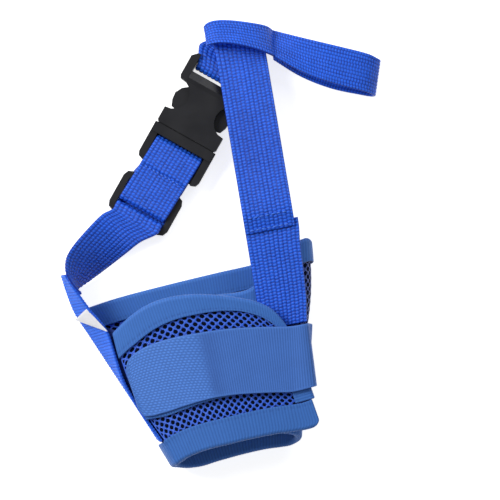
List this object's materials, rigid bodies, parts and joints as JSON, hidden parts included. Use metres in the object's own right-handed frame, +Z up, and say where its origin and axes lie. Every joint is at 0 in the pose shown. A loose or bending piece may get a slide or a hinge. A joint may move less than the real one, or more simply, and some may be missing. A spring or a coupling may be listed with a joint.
{
  "type": "dog muzzle",
  "caption": "Soft mesh-fabric dog muzzle, tapered tube with hinged closing flap and hook-and-loop band, webbing neck loop with side-release buckle, slider and collar loop",
  "frame": {"origin": "bottom centre of the whole object's box, on the surface it lies on", "axes": "+Z up, +Y from the nose end to the head end, +X to the muzzle's right seen from above"},
  "size_m": [0.1422, 0.1742, 0.0281],
  "materials": {
    "air_mesh": "open knitted mesh",
    "binding_tape": "woven tape",
    "hook_and_loop": "napped",
    "webbing": "woven",
    "thread": "twisted",
    "label_tape": "satin tape",
    "moulded_plastic": "moulded"
  },
  "bodies": {
    "root": {"mesh_back_panel": "air_mesh", "head_binding": "binding_tape", "nose_binding_back": "binding_tape", "loop_patch": "hook_and_loop", "side_strap_left": "webbing", "side_strap_right": "webbing", "neck_strap_left_end": "webbing", "care_label": "label_tape"},
    "flap": {"mesh_front_flap": "air_mesh", "flap_top_binding": "binding_tape", "flap_edge_binding": "binding_tape", "nose_binding_front": "binding_tape", "closing_band": "hook_and_loop", "hook_patch": "hook_and_loop"},
    "neck_loop": {"neck_strap_left": "webbing", "neck_strap_right": "webbing", "neck_seam_stitches": "thread", "keeper_loop": "webbing", "buckle_female": "moulded_plastic"},
    "collar_loop_body": {"collar_loop": "webbing"},
    "male_half": {"buckle_male": "moulded_plastic", "tri_glide": "moulded_plastic", "adjuster_strap": "webbing", "adjuster_stitches": "thread"},
    "left_prong": {"prong_left": "moulded_plastic"},
    "right_prong": {"prong_right": "moulded_plastic"}
  },
  "joints": [
    {"name": "flap_open", "type": "hinge", "parent": "root", "child": "flap", "pos_m": [-0.05539, -0.02767, 0.02077], "axis": [0.2531, -0.9674, 0], "range_deg": [0, 150]},
    {"name": "neck_tilt", "type": "hinge", "parent": "root", "child": "neck_loop", "pos_m": [-0.00649, -0.00027, 0.02206], "axis": [1, 0, 0], "range_deg": [0, 95]},
    {"name": "collar_loop_swing", "type": "hinge", "parent": "neck_loop", "child": "collar_loop_body", "pos_m": [0.03011, 0.07401, 0.00779], "axis": [-0.1069, -0.7483, 0.6547], "range_deg": [0, 60]},
    {"name": "buckle_release", "type": "slide", "parent": "neck_loop", "child": "male_half", "axis": [-0.6508, -0.7593, 0], "range_m": [0, 0.022], "deforming": ["neck_strap_left", "prong_left", "prong_right"]},
    {"name": "prong_left_squeeze", "type": "hinge", "parent": "male_half", "child": "left_prong", "pos_m": [-0.01663, 0.04857, 0.00431], "axis": [0, 0, -1], "range_deg": [0, 14], "stiffness_Nm_per_rad": 0.05},
    {"name": "prong_right_squeeze", "type": "hinge", "parent": "male_half", "child": "right_prong", "pos_m": [-0.00569, 0.0392, 0.00431], "axis": [0, 0, 1], "range_deg": [0, 14], "stiffness_Nm_per_rad": 0.05}
  ]
}
